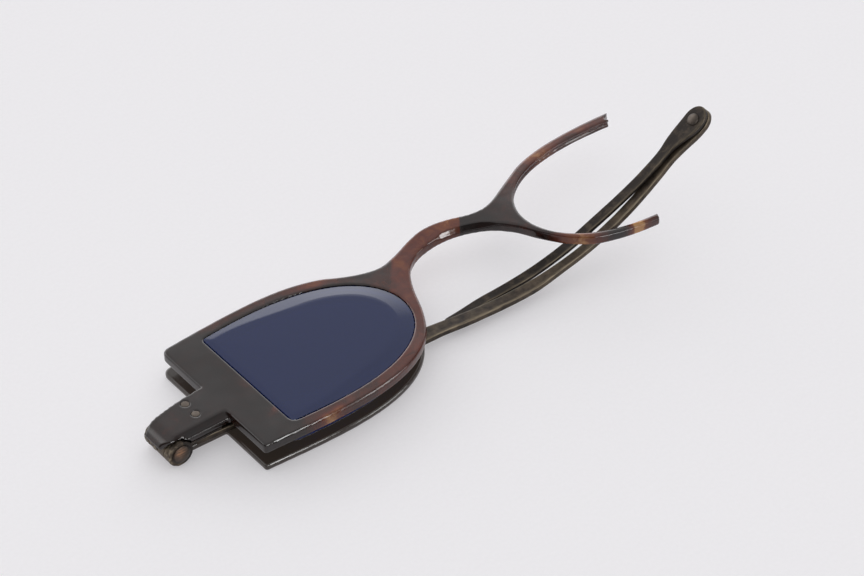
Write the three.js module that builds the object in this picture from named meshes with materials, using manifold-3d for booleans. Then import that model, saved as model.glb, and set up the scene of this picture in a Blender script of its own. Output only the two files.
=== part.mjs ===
// Four-lens shell spectacles, folded, with one eye of the front broken away.
// Millimetres. X runs along the front from the hinge to the broken eye, Y points to the
// brow and Z up from the table, with the finished group standing on its lowest point.
import * as THREE from 'three';
import { mergeVertices } from 'three/addons/utils/BufferGeometryUtils.js';
import Module from 'manifold-3d';

const wasm = await Module();
wasm.setup();

// Eye opening: a D with its flat edge towards the hinge and its round end at the nose
const EYE_HALF = 11.98; // half height at the flat edge
const EYE_REACH = 30.68; // flat edge to round end
const EYE_SWELL = 0.2; // share by which the height grows towards the round end
const EYE_POWER = 2.58; // squareness of the round end
const LAND = 6.66; // shell between the flat outer edge and the opening
const RIM = 1.95; // shell round the rest of the opening
const RIM_SWELL = 0.18;
const RIM_POWER = 3.6;
const SIDE_SWELL = 0.22;
const SIDE_POWER = 3.3;
const EYE_STEPS = 24; // facets from the flat edge to the round end

// Shell plates
const FRONT_THICK = 1.9;
const SIDE_THICK = 1.1;
const FOLD_GAP = 2.35; // between the folded side eye and the front
const SOFT_EDGE = 0.35; // rounding left on the front's edges
const SIDE_EDGE = 0.2;

// Bridge and the two broken arms
const BRIDGE_SPAN = 22.3; // between the outer round ends of the two eyes
const BRIDGE_TWIST = 3.56; // the broken half stands this much higher
const LOWER_WIDTH = 1.12; // shell left round the broken opening
const UPPER_WIDTH = 1.67;
const UPPER_SWELL = 0.1;
const UPPER_POWER = 2.8;
const BROKEN_REACH = 0.984; // size of the broken opening as a share of the whole one
const BROKEN_RISE = 0.964;
const TWIST_STEP = 4; // longest edge that is bent
const ARM_THIN = 0.88; // share of the thickness that is left in the arms
const LOWER_ARM = 0.618; // length of each arm as a share of the eye's reach
const UPPER_ARM = 0.96;

// Lenses and the grooves that hold them
const LENS_CORE = 0.3;
const LENS_FACET = 0.4; // height of the bevel on each face of the front lens
const SIDE_LENS_CORE = 0.14;
const SIDE_LENS_FACET = 0.26;
const LENS_HOLD = 0.5; // how far a lens edge reaches into its groove
const LENS_PLAY = 0.12;
const EMPTY_GROOVE = 0.6; // size of the groove in the arms as a share of the other

// Hinge
const HINGE_OUT = 9.2; // axis beyond the flat edge of the front
const BARREL_R = 2.2;
const BARREL_ROOM = 0.27; // shell relief round the barrel
const PIN_R = 0.7;
const RUN = 0.08; // radial play of every pin
const LEAF = 0.42;
const LEAF_SEAT = 0.02;
const BARREL_START = -4.7;
const KNUCKLES = [1.4, 1.7, 2.05, 1.2]; // front, temple, side, front
const KNUCKLE_GAP = 0.15;
const CURL_END = 157; // degrees round the axis at which the shell curl stops
const RIVET_R = 0.65;
const RIVET_OUT = 4.05;
const RIVET_SPREAD = 1.4;

// Temple bar: straight under the lens, then bowed up to the turn pin
const BAR_THICK = 1.1;
const BAR_HALF = 1.4;
const BAR_SLIM = 0.85;
const BAR_ROOT = 0.5;
const BAR_BELLY = 0.27; // how far it swells sideways before the bow
const BAR_YAW = -4.55; // degrees across the front
const BAR_ASIDE = -0.2; // from the middle of its knuckle
const BAR_DIP = -0.55; // degrees
const BAR_RISE = 42.8; // degrees at the turn pin
const BOW_BEFORE_ARM = 26.29; // where it starts to rise, before it has passed the lower arm
const BOW_LENGTH = 47.7;
const BOW_TO_TURN = 4.75; // from the end of the bow to the turn pin

// Extension, folded back beside the bar
const EXT_THICK = 0.8;
const EXT_LENGTH = 55;
const EXT_HALF = 0.93;
const EXT_ASIDE = 2.3; // how far it lies beside the bar
const EXT_SPLAY = 0.8; // and how much of that close to the turn pin
const EXT_TUCK = 0.75; // and how far its tip comes back under it
const EXT_DROP = 2.4; // how far it sinks past the bar by its tip
const END_HALF = 1.98; // half width of both bars at the turn pin
const END_TIP = 2.6; // their round ends beyond it
const END_TAPER = 8; // and the length over which they slim down
const TURN_R = 0.75;
const TURN_HEAD_R = 1.05;
const TURN_GAP = 0.3;

const rad = THREE.MathUtils.degToRad;
const smooth = (t) => THREE.MathUtils.smoothstep(t, 0, 1);
const v2 = (x, y) => new THREE.Vector2(x, y);

// Derived places
const NOSE = LAND + EYE_REACH + 0.8 * RIM;
const MIDDLE = NOSE + BRIDGE_SPAN / 2;
const FRONT_Z = SIDE_THICK + FOLD_GAP;
const FRONT_TOP = FRONT_Z + FRONT_THICK;
const AXIS_Z = SIDE_THICK + FOLD_GAP / 2;
const AXIS_X = -HINGE_OUT;
const OPENING = { start: LAND, reach: EYE_REACH, half: EYE_HALF, swell: EYE_SWELL, power: EYE_POWER };
const OUTER = { start: 0, reach: NOSE, half: EYE_HALF + RIM, swell: RIM_SWELL, power: RIM_POWER };
const SIDE = { ...OUTER, reach: NOSE - 0.2 * RIM, swell: SIDE_SWELL, power: SIDE_POWER };
const LOWER_OPENING = { ...OPENING, reach: BROKEN_REACH * EYE_REACH };
const UPPER_OPENING = { ...LOWER_OPENING, half: BROKEN_RISE * EYE_HALF };
const LOWER = { ...OPENING, reach: EYE_REACH + 1.2 * LOWER_WIDTH, half: EYE_HALF + LOWER_WIDTH };
const UPPER = {
  start: LAND,
  reach: EYE_REACH + UPPER_WIDTH,
  half: EYE_HALF + UPPER_WIDTH,
  swell: UPPER_SWELL,
  power: UPPER_POWER,
};

function toSolid(geometry) {
  const bare = geometry.clone();
  bare.deleteAttribute('normal');
  bare.deleteAttribute('uv');
  const welded = mergeVertices(bare, 1e-4);
  return new wasm.Manifold(new wasm.Mesh({
    numProp: 3,
    vertProperties: new Float32Array(welded.attributes.position.array),
    triVerts: new Uint32Array(welded.index.array),
  }));
}

function toGeometry(solid) {
  const mesh = solid.getMesh();
  const geometry = new THREE.BufferGeometry();
  geometry.setAttribute('position', new THREE.BufferAttribute(new Float32Array(mesh.vertProperties), 3));
  geometry.setIndex(new THREE.BufferAttribute(new Uint32Array(mesh.triVerts), 1));
  return geometry;
}

const join = (...parts) => toGeometry(parts.map(toSolid).reduce((a, b) => a.add(b)));
const cut = (body, ...tools) => toGeometry(tools.map(toSolid).reduce((a, b) => a.subtract(b), toSolid(body)));
const common = (a, b) => toGeometry(toSolid(a).intersect(toSolid(b)));
const divided = (body, length) => toGeometry(toSolid(body).refineToLength(length));

// A point of a D edge: angle 0 is the flat edge and a right angle the round end.
function eyePoint(eye, angle, side) {
  const along = Math.max(0, Math.sin(angle)) ** (2 / eye.power);
  return v2(eye.start + eye.reach * along, side * eye.half * (1 + eye.swell * along) * Math.cos(angle));
}

const eyeAngle = (eye, x) => {
  const along = THREE.MathUtils.clamp((x - eye.start) / eye.reach, 0, 1);
  return Math.asin(along ** (eye.power / 2));
};

function eyeRun(eye, from, to, side, count) {
  return Array.from({ length: count + 1 }, (_, i) => eyePoint(eye, from + ((to - from) * i) / count, side));
}

const mirrored = (points) => points.map((p) => v2(2 * MIDDLE - p.x, p.y));
const eyeOutline = (eye) => [
  ...eyeRun(eye, 0, Math.PI / 2, -1, EYE_STEPS),
  ...eyeRun(eye, Math.PI / 2, 0, 1, EYE_STEPS).slice(1),
];

// Puts a short arc in place of one corner of an outline.
function rounded(points, index, radius) {
  const corner = points[index];
  const before = points[(index + points.length - 1) % points.length];
  const after = points[(index + 1) % points.length];
  const a = corner.clone().add(before.clone().sub(corner).setLength(radius));
  const b = corner.clone().add(after.clone().sub(corner).setLength(radius));
  const arc = new THREE.QuadraticBezierCurve(a, corner, b).getPoints(5);
  return [...points.slice(0, index), ...arc, ...points.slice(index + 1)];
}

function plate(outline, holes, z, thick, edge) {
  const shape = new THREE.Shape(outline);
  shape.holes = holes.map((points) => new THREE.Path(points));
  const geometry = new THREE.ExtrudeGeometry(shape, {
    depth: thick - 2 * edge,
    bevelEnabled: edge > 0,
    bevelThickness: edge,
    bevelSize: edge,
    bevelOffset: -edge,
    bevelSegments: edge > 0.3 ? 2 : 1,
    curveSegments: 8,
  });
  return geometry.translate(0, 0, z + edge);
}

// A lens blank with a ridge round its edge; grow makes the groove that takes it.
function lensBlank(outline, z, core, facet, grow, hold = LENS_HOLD) {
  const geometry = new THREE.ExtrudeGeometry(new THREE.Shape(outline), {
    depth: core + grow,
    bevelThickness: facet + grow,
    bevelSize: hold,
    bevelOffset: grow - LENS_PLAY,
    bevelSegments: 1,
  });
  return geometry.translate(0, 0, z - (core + grow) / 2);
}

// Skins a row of equal rings and closes both ends.
function loft(rings) {
  const count = rings[0].length;
  const positions = rings.flat().flatMap((p) => [p.x, p.y, p.z]);
  const index = [];
  for (let r = 0; r + 1 < rings.length; r += 1) {
    for (let i = 0; i < count; i += 1) {
      const a = r * count + i;
      const b = r * count + ((i + 1) % count);
      index.push(a, a + count, b, b, a + count, b + count);
    }
  }
  const last = (rings.length - 1) * count;
  for (let i = 1; i + 1 < count; i += 1) {
    index.push(0, i, i + 1, last, last + i + 1, last + i);
  }
  const geometry = new THREE.BufferGeometry();
  geometry.setAttribute('position', new THREE.Float32BufferAttribute(positions, 3));
  geometry.setIndex(index);
  return geometry;
}

const turned = (profile, segments) => new THREE.LatheGeometry(profile.map(([r, y]) => v2(r, y)), segments);
const barrel = (radius, from, to) => new THREE.CylinderGeometry(radius, radius, to - from, 24)
  .translate(AXIS_X, (from + to) / 2, AXIS_Z);

// Hinge knuckles in a row along the axis
const starts = KNUCKLES.map((_, i) => BARREL_START
  + KNUCKLES.slice(0, i).reduce((sum, w) => sum + w + KNUCKLE_GAP, 0));
const knuckle = (i) => [starts[i], starts[i] + KNUCKLES[i]];
const BARREL_END = knuckle(3)[1];
const bore = barrel(PIN_R + RUN, BARREL_START - 2, BARREL_END + 2);

// A leaf is a plate with one finger for each of its knuckles.
function hingeLeaf(z, low, high, own) {
  const edge = AXIS_X + BARREL_R + BARREL_ROOM;
  const sheet = plate([v2(edge, low), v2(-1.5, low), v2(-1.5, high), v2(edge, high)], [], z, LEAF, 0.05);
  const fingers = own.flatMap((i) => {
    const [from, to] = knuckle(i);
    const outline = [v2(AXIS_X + 1, from), v2(edge + 0.5, from), v2(edge + 0.5, to), v2(AXIS_X + 1, to)];
    return [plate(outline, [], z, LEAF, 0), barrel(BARREL_R, from, to)];
  });
  return cut(join(sheet, ...fingers), bore);
}

// Countersunk below, lightly domed above
function rivet(low, high, side, grow, dome = 0.04) {
  const r = RIVET_R + grow;
  const flare = r + 0.25;
  const reach = grow > 0 ? 1 : 0;
  const profile = [
    [0, low - reach], [flare, low - reach], [flare, low], [r, low + 0.25],
    [r, high - 0.05 + reach], [0.7 * r, high + 0.6 * dome + reach], [0, high + dome + reach],
  ];
  return turned(profile, 24).rotateX(Math.PI / 2).translate(-RIVET_OUT, side * RIVET_SPREAD, 0);
}

// Front, drawn flat: the whole eye, the bridge and the two arms
const bridgeX = (share) => NOSE + share * BRIDGE_SPAN;
const bridgeY = (share) => share * EYE_HALF;
const brow = new THREE.SplineCurve([
  ...mirrored(eyeRun(UPPER, eyeAngle(UPPER, 0.76 * NOSE), eyeAngle(UPPER, 0.83 * NOSE), 1, 1)),
  v2(bridgeX(1.18), bridgeY(0.746)), v2(bridgeX(1.05), bridgeY(0.629)), v2(bridgeX(0.935), bridgeY(0.587)),
  v2(bridgeX(0.82), bridgeY(0.64)), v2(bridgeX(0.7), bridgeY(0.768)), v2(bridgeX(0.59), bridgeY(0.86)),
  v2(bridgeX(0.47), bridgeY(0.902)), v2(bridgeX(0.34), bridgeY(0.868)), v2(bridgeX(0.19), bridgeY(0.784)),
  v2(bridgeX(0.031), bridgeY(0.722)), v2(bridgeX(-0.108), bridgeY(0.77)),
  ...eyeRun(OUTER, eyeAngle(OUTER, 0.85 * NOSE), eyeAngle(OUTER, 0.79 * NOSE), 1, 1),
]);
const arch = new THREE.SplineCurve([
  ...eyeRun(OUTER, eyeAngle(OUTER, 0.93 * NOSE), eyeAngle(OUTER, 0.965 * NOSE), -1, 1),
  v2(bridgeX(0), bridgeY(-0.25)), v2(bridgeX(0.068), bridgeY(0.06)), v2(bridgeX(0.146), bridgeY(0.325)),
  v2(bridgeX(0.22), bridgeY(0.48)), v2(bridgeX(0.32), bridgeY(0.58)), v2(bridgeX(0.45), bridgeY(0.613)),
  v2(bridgeX(0.6), bridgeY(0.568)), v2(bridgeX(0.75), bridgeY(0.437)), v2(bridgeX(0.89), bridgeY(0.238)),
  v2(bridgeX(1), bridgeY(-0.03)), v2(bridgeX(1.075), bridgeY(-0.315)), v2(bridgeX(1.165), bridgeY(-0.575)),
  v2(bridgeX(1.25), bridgeY(-0.74)),
  ...mirrored(eyeRun(LOWER, eyeAngle(LOWER, 0.79 * NOSE), eyeAngle(LOWER, 0.73 * NOSE), -1, 1)),
]);
const nearEnd = LAND + EYE_REACH * (1 - LOWER_ARM);
const farEnd = LAND + EYE_REACH * (1 - UPPER_ARM);
const spare = 1.2; // drawn past each break and cut off there
const frontOutline = [
  ...eyeRun(OUTER, 0, eyeAngle(OUTER, 0.93 * NOSE), -1, 18),
  ...arch.getPoints(42).slice(1),
  ...mirrored(eyeRun(LOWER, eyeAngle(LOWER, 0.73 * NOSE), eyeAngle(LOWER, nearEnd - spare), -1, 6)).slice(1),
  ...mirrored(eyeRun(LOWER_OPENING, eyeAngle(LOWER_OPENING, nearEnd - spare), Math.PI / 2, -1, 16)),
  ...mirrored(eyeRun(UPPER_OPENING, Math.PI / 2, eyeAngle(UPPER_OPENING, farEnd - spare), 1, 22)).slice(1),
  ...mirrored(eyeRun(UPPER, eyeAngle(UPPER, farEnd - spare), eyeAngle(UPPER, 0.76 * NOSE), 1, 14)),
  ...brow.getPoints(42).slice(1),
  ...eyeRun(OUTER, eyeAngle(OUTER, 0.79 * NOSE), 0, 1, 14).slice(1),
];
const softFront = rounded(rounded(frontOutline, frontOutline.length - 1, 1.4), 0, 0.5);
const opening = rounded(rounded(eyeOutline(OPENING), 2 * EYE_STEPS, 0.8), 0, 1.3);
const brokenOpening = mirrored([
  ...eyeRun(LOWER_OPENING, 0, Math.PI / 2, -1, EYE_STEPS),
  ...eyeRun(UPPER_OPENING, Math.PI / 2, 0, 1, EYE_STEPS).slice(1),
]).reverse();

// The shell tab: flat over the leaf, then curled down round the barrel
function frontTab() {
  const room = BARREL_R + BARREL_ROOM;
  const over = FRONT_TOP - AXIS_Z;
  const hook = new THREE.Shape();
  hook.moveTo(LAND / 4, FRONT_Z);
  hook.lineTo(LAND / 4, FRONT_TOP);
  hook.lineTo(AXIS_X, FRONT_TOP);
  hook.absarc(AXIS_X, AXIS_Z, over, rad(90), rad(CURL_END), false);
  hook.absarc(AXIS_X, AXIS_Z, room, rad(CURL_END), Math.asin((FRONT_Z - AXIS_Z) / room), true);
  hook.closePath();
  const bar = new THREE.ExtrudeGeometry(hook, { depth: 8, bevelEnabled: false, curveSegments: 10 })
    .rotateX(Math.PI / 2)
    .translate(0, 3.1, 0);
  const plan = new THREE.Shape();
  const tip = AXIS_X - over - 1;
  plan.moveTo(LAND / 4, -4.7);
  plan.lineTo(AXIS_X + 1.6, -4.6);
  plan.quadraticCurveTo(AXIS_X - 1, -4.5, AXIS_X - 2.1, -3.3);
  plan.quadraticCurveTo(AXIS_X - 2.7, -2.7, tip, -2.3);
  plan.lineTo(tip, -0.4);
  plan.quadraticCurveTo(AXIS_X - over, 1.4, AXIS_X, 1.75);
  plan.quadraticCurveTo(AXIS_X + 3.5, 2.6, AXIS_X + 7.5, 2.85);
  plan.lineTo(LAND / 4, 2.9);
  const sides = new THREE.ExtrudeGeometry(plan, { depth: 4 * FRONT_TOP, bevelEnabled: false })
    .translate(0, 0, -FRONT_TOP);
  const slope = new THREE.Shape([v2(-3.4, FRONT_TOP), v2(-5.4, FRONT_TOP), v2(-5.4, FRONT_TOP - 1.6)]);
  const chamfer = new THREE.ExtrudeGeometry(slope, { depth: 2 * HINGE_OUT, bevelEnabled: false })
    .rotateX(Math.PI / 2)
    .rotateZ(Math.PI / 2)
    .translate(-2 * HINGE_OUT, 0, 0);
  return cut(common(bar, sides), chamfer);
}

// Carries the flat-drawn front into its twisted shape.
function twist(geometry) {
  const place = geometry.attributes.position;
  const from = NOSE + 0.7;
  const to = 2 * MIDDLE - NOSE + 3.3;
  for (let i = 0; i < place.count; i += 1) {
    const x = place.getX(i);
    const lift = BRIDGE_TWIST * smooth((x - from) / (to - from));
    const keep = 1 - (1 - ARM_THIN) * smooth((x - to + 2) / 12);
    place.setZ(i, FRONT_TOP - (FRONT_TOP - place.getZ(i)) * keep + lift);
  }
  return geometry;
}

const lensZ = FRONT_TOP - 0.3 - LENS_FACET - LENS_CORE / 2;
const sideLensZ = SIDE_THICK / 2;
const rivetPlaces = [[1, 'upper'], [-1, 'lower']];

function frontFrame() {
  const sawn = join(plate(softFront, [opening], FRONT_Z, FRONT_THICK, SOFT_EDGE), frontTab());
  const lowEnd = 2 * MIDDLE - nearEnd;
  const highEnd = 2 * MIDDLE - farEnd;
  const lowBreak = plate([
    v2(lowEnd + 0.1, -EYE_HALF + 1), v2(lowEnd - 1.5, -EYE_HALF - 2.6),
    v2(lowEnd + 4, -EYE_HALF - 2.6), v2(lowEnd + 4, -EYE_HALF + 1),
  ], [], 0, 3 * FRONT_TOP, 0);
  const highBreak = plate([
    v2(highEnd - 0.7, EYE_HALF - 0.9), v2(highEnd - 0.4, EYE_HALF + 0.05), v2(highEnd - 0.9, EYE_HALF + 0.45),
    v2(highEnd + 1, EYE_HALF + 1.7), v2(highEnd + 4, EYE_HALF + 3), v2(highEnd + 4, EYE_HALF - 0.9),
  ].reverse(), [], 0, 3 * FRONT_TOP, 0);
  const holes = rivetPlaces.map(([side]) => rivet(FRONT_Z - LEAF, FRONT_TOP, side, RUN));
  const g = EMPTY_GROOVE;
  const flat = cut(
    sawn,
    lensBlank(opening, lensZ, LENS_CORE, LENS_FACET, LENS_PLAY),
    lensBlank(brokenOpening, lensZ, g * LENS_CORE, g * LENS_FACET, g * LENS_PLAY, g * LENS_HOLD),
    lowBreak,
    highBreak,
    ...holes,
  );
  return twist(divided(flat, TWIST_STEP));
}

function sideFrame() {
  const tabEnd = AXIS_X + BARREL_R + BARREL_ROOM;
  const tabPlan = [v2(tabEnd, -3.2), v2(LAND / 4, -3.6), v2(LAND / 4, 2.4), v2(tabEnd, 2)];
  const tab = plate(tabPlan, [], 0, SIDE_THICK, SIDE_EDGE);
  const outline = rounded(rounded(eyeOutline(SIDE), 2 * EYE_STEPS, 1.4), 0, 0.5);
  const holes = rivetPlaces.map(([side]) => rivet(0, SIDE_THICK + LEAF, side, RUN));
  return cut(
    join(plate(outline, [opening], 0, SIDE_THICK, SIDE_EDGE), tab),
    lensBlank(opening, sideLensZ, SIDE_LENS_CORE, SIDE_LENS_FACET, LENS_PLAY),
    ...holes,
  );
}

function frontLeaf() {
  const holes = rivetPlaces.map(([side]) => rivet(FRONT_Z - LEAF, FRONT_TOP, side, RUN));
  return cut(hingeLeaf(FRONT_Z - LEAF - LEAF_SEAT, BARREL_START, BARREL_END, [0, 3]), ...holes);
}

function sideLeaf() {
  const holes = rivetPlaces.map(([side]) => rivet(0, SIDE_THICK + LEAF, side, RUN));
  return cut(hingeLeaf(SIDE_THICK + LEAF_SEAT, -3, BARREL_END - 0.3, [2]), ...holes);
}

function hingePin() {
  const low = BARREL_START - KNUCKLE_GAP;
  const high = BARREL_END + KNUCKLE_GAP;
  return turned([
    [0, low - 0.4], [1.4, low - 0.4], [1.65, low - 0.25], [1.65, low], [PIN_R, low],
    [PIN_R, high], [1.05, high], [1.05, high + 0.15], [0.75, high + 0.3], [0, high + 0.3],
  ], 24).translate(AXIS_X, 0, AXIS_Z);
}

// The bar's centre line in its own upright plane, walked in short steps from the hinge
const [TEMPLE_FROM, TEMPLE_TO] = knuckle(1);
const BAR_Y = (TEMPLE_FROM + TEMPLE_TO) / 2 + BAR_ASIDE;
const yaw = rad(BAR_YAW);

// Length from the hinge axis to where the bar's near edge comes out from under the lower arm
function armCrossing() {
  const span = { low: 0, high: Math.PI / 2 };
  const edge = BAR_Y - BAR_SLIM - BAR_BELLY;
  const runTo = (point) => (2 * MIDDLE - point.x - AXIS_X) / Math.cos(yaw);
  for (let i = 0; i < 40; i += 1) {
    const angle = (span.low + span.high) / 2;
    const point = eyePoint(LOWER_OPENING, angle, -1);
    const above = point.y > edge + runTo(point) * Math.sin(yaw);
    span[above ? 'high' : 'low'] = angle;
  }
  return runTo(eyePoint(LOWER_OPENING, span.low, -1));
}

const BOW_START = Number((armCrossing() - BOW_BEFORE_ARM).toFixed(2));
const BOW_END = BOW_START + BOW_LENGTH;
const TURN_PIN_AT = BOW_END + BOW_TO_TURN;

function barAt(length) {
  const steps = 400;
  const at = { run: 0, z: AXIS_Z, slope: rad(BAR_DIP) };
  for (let i = 0; i < steps; i += 1) {
    const middle = (length * (i + 0.5)) / steps;
    at.slope = rad(BAR_DIP + (BAR_RISE - BAR_DIP) * smooth((middle - BOW_START) / (BOW_END - BOW_START)));
    at.run += (Math.cos(at.slope) * length) / steps;
    at.z += (Math.sin(at.slope) * length) / steps;
  }
  return at;
}

// A point beside (aside) and above (over) the bar's centre line
function barPoint(at, aside, over) {
  const run = at.run - Math.sin(at.slope) * over;
  return new THREE.Vector3(
    AXIS_X + run * Math.cos(yaw) - aside * Math.sin(yaw),
    BAR_Y + run * Math.sin(yaw) + aside * Math.cos(yaw),
    at.z + Math.cos(at.slope) * over,
  );
}

// A flat bar section with its edges taken off
function barRing(at, aside, over, half, thick) {
  const c = Math.min(0.22, 0.4 * half);
  const t = thick / 2;
  const section = [
    [-half, c - t], [-half, t - c], [c - half, t], [half - c, t],
    [half, t - c], [half, c - t], [half - c, -t], [c - half, -t],
  ];
  return section.map(([y, z]) => barPoint(at, aside + y, over + z));
}

// Half width near the turn pin, at a distance back from it (round end beyond it)
function endHalf(back, slim) {
  return back < 0
    ? END_HALF * Math.sqrt(Math.max(0, 1 - (back / END_TIP) ** 2))
    : slim + (END_HALF - slim) * (1 - smooth(back / END_TAPER));
}
const tipSteps = [0, 12, 24, 36, 48, 60, 71, 81].map((a) => END_TIP * Math.sin(rad(a)));
const turnAt = barAt(TURN_PIN_AT);
const turnMatrix = new THREE.Matrix4()
  .makeRotationAxis(new THREE.Vector3(Math.sin(yaw), -Math.cos(yaw), 0), turnAt.slope)
  .multiply(new THREE.Matrix4().makeRotationX(Math.PI / 2))
  .setPosition(barPoint(turnAt, 0, 0));
const turnHole = new THREE.CylinderGeometry(TURN_R + RUN, TURN_R + RUN, 12, 24).applyMatrix4(turnMatrix);
const EXT_OVER = BAR_THICK / 2 + TURN_GAP + EXT_THICK / 2;

function templeBar() {
  const half = (l) => {
    const root = BAR_ROOT + (BAR_HALF - BAR_ROOT) * smooth((l - 2.6) / 1.2);
    const slim = (BAR_HALF - BAR_SLIM) * smooth((l - BOW_START + 10) / 14);
    return l > BOW_START + 20 ? endHalf(TURN_PIN_AT - l, BAR_SLIM) : root - slim;
  };
  const straight = [1.1, 2.6, 3, 3.4, 3.8, 8, 20, 34, BOW_START - 8, BOW_START - 4];
  const bowed = Array.from({ length: 22 }, (_, i) => BOW_START - 1 + (i * (TURN_PIN_AT - BOW_START)) / 22);
  const stations = [...straight, ...bowed, ...tipSteps.map((d) => TURN_PIN_AT + d)];
  const rings = stations.map((l) => {
    const belly = BAR_BELLY * smooth((l - BOW_START + 6) / 8) * (1 - smooth((l - BOW_START - 12) / 9));
    return barRing(barAt(l), -belly, 0, half(l) + belly, BAR_THICK);
  });
  const eye = barrel(BARREL_R, TEMPLE_FROM, TEMPLE_TO);
  return cut(join(loft(rings), eye), bore, turnHole);
}

function templeExtension() {
  const half = (r) => {
    const end = EXT_LENGTH - EXT_HALF - r;
    return end < 0 ? Math.sqrt(Math.max(0.01, EXT_HALF ** 2 - end ** 2)) : endHalf(r, EXT_HALF);
  };
  const body = Array.from({ length: 28 }, (_, i) => ((i + 1) * (EXT_LENGTH - EXT_HALF)) / 28);
  const tip = [0.4, 0.7, 0.9, 0.99].map((s) => EXT_LENGTH - EXT_HALF * (1 - s));
  const stations = [...tipSteps.map((d) => -d).reverse(), ...body, ...tip].reverse();
  const rings = stations.map((r) => {
    const beside = EXT_SPLAY * smooth(r / 6) + (EXT_ASIDE - EXT_SPLAY) * smooth((r - 6) / 20);
    const aside = beside - EXT_TUCK * smooth((r - EXT_LENGTH + 9) / 9);
    const over = EXT_OVER - EXT_DROP * (Math.max(0, r) / EXT_LENGTH) ** 2;
    return barRing(barAt(TURN_PIN_AT - r), aside, over, half(r), EXT_THICK);
  });
  return cut(loft(rings), turnHole);
}

function turnPin() {
  const top = EXT_OVER + EXT_THICK / 2 + RUN;
  const low = -BAR_THICK / 2 - RUN;
  return turned([
    [0, low - 0.35], [0.7, low - 0.35], [TURN_HEAD_R, low - 0.15], [TURN_HEAD_R, low], [TURN_R, low],
    [TURN_R, top], [TURN_HEAD_R, top], [TURN_HEAD_R, top + 0.12], [0.75, top + 0.36], [0, top + 0.45],
  ], 24).applyMatrix4(turnMatrix);
}

const shell = { color: 0x54342a, roughness: 0.32, metalness: 0 };
const thinShell = { color: 0x3c2c28, roughness: 0.35, metalness: 0 };
const blueGlass = { color: 0x42465c, roughness: 0.06, metalness: 0, transparent: true, opacity: 0.75 };
const bronze = { color: 0x5c5344, roughness: 0.45, metalness: 0.9 };
const copper = { color: 0x966e50, roughness: 0.4, metalness: 0.9 };
const steel = { color: 0x8c8880, roughness: 0.4, metalness: 0.9 };

const group = new THREE.Group();
group.name = 'spectacles';

function add(name, geometry, look) {
  const mesh = new THREE.Mesh(geometry, new THREE.MeshStandardMaterial(look));
  mesh.name = name;
  group.add(mesh);
}

add('front_frame', frontFrame(), shell);
add('front_lens', lensBlank(opening, lensZ, LENS_CORE, LENS_FACET, 0), blueGlass);
add('front_hinge_leaf', frontLeaf(), bronze);
add('hinge_pin', hingePin(), copper);
add('temple_bar', templeBar(), bronze);
add('temple_extension', templeExtension(), bronze);
add('turn_pin', turnPin(), steel);
add('side_frame', sideFrame(), thinShell);
add('side_lens', lensBlank(opening, sideLensZ, SIDE_LENS_CORE, SIDE_LENS_FACET, 0), blueGlass);
add('side_hinge_leaf', sideLeaf(), bronze);
for (const [side, word] of rivetPlaces) {
  add(`front_rivet_${word}`, rivet(FRONT_Z - LEAF, FRONT_TOP, side, 0), steel);
  add(`side_rivet_${word}`, rivet(0, SIDE_THICK + LEAF, side, 0, 0.02), steel);
}

// Origin at the middle of the bounding box's underside
const box = new THREE.Box3().setFromObject(group);
const shift = box.getCenter(new THREE.Vector3()).setZ(box.min.z).negate();
for (const mesh of group.children) {
  mesh.geometry.translate(shift.x, shift.y, shift.z);
}

export default group;
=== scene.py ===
# %% [markdown]
# A broken pair of four-lens spectacles, folded and lying on a table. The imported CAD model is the
# fixed frame: it says where every piece is and how it moves. This file gives the pieces the
# finish that the real ones have: worn shell, old blue glass and dull metal.
# Lengths are worked out in millimetres and turned into metres when a mesh is made.

import bmesh
import bpy
import numpy as np
from mathutils import Matrix, Vector


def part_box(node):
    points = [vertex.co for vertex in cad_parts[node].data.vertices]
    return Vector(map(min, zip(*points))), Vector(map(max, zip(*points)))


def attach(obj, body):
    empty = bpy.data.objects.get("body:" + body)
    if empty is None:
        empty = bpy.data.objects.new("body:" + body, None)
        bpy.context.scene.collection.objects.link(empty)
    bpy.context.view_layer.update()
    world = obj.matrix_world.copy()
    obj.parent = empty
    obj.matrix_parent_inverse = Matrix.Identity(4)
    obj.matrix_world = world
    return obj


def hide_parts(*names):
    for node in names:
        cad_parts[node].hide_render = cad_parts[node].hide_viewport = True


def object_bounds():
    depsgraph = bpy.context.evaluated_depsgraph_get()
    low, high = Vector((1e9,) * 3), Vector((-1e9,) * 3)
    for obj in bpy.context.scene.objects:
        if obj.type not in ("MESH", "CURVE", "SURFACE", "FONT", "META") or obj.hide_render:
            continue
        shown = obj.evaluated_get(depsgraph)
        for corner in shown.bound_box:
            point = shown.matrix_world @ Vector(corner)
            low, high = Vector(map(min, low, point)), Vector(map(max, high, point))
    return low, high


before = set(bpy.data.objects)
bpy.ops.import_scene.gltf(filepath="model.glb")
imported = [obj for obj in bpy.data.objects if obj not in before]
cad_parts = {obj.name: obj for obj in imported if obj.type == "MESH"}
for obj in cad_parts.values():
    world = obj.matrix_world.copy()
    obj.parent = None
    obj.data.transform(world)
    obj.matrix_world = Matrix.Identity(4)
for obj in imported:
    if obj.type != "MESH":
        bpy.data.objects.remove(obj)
cad_box = [list(corner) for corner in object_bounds()]
MM = 0.001
print("frame of", len(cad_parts), "nodes,", np.round(np.ptp(cad_box, axis=0) / MM, 1), "mm")

# %% [markdown]
# Everything is placed from the hinge, because the hinge pin is the one line that three of the
# four bodies share. The flat outer edge of the folded eyes lies a fixed way from it. Where a
# comment or a value says along, it counts from that edge towards the bridge.

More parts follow.
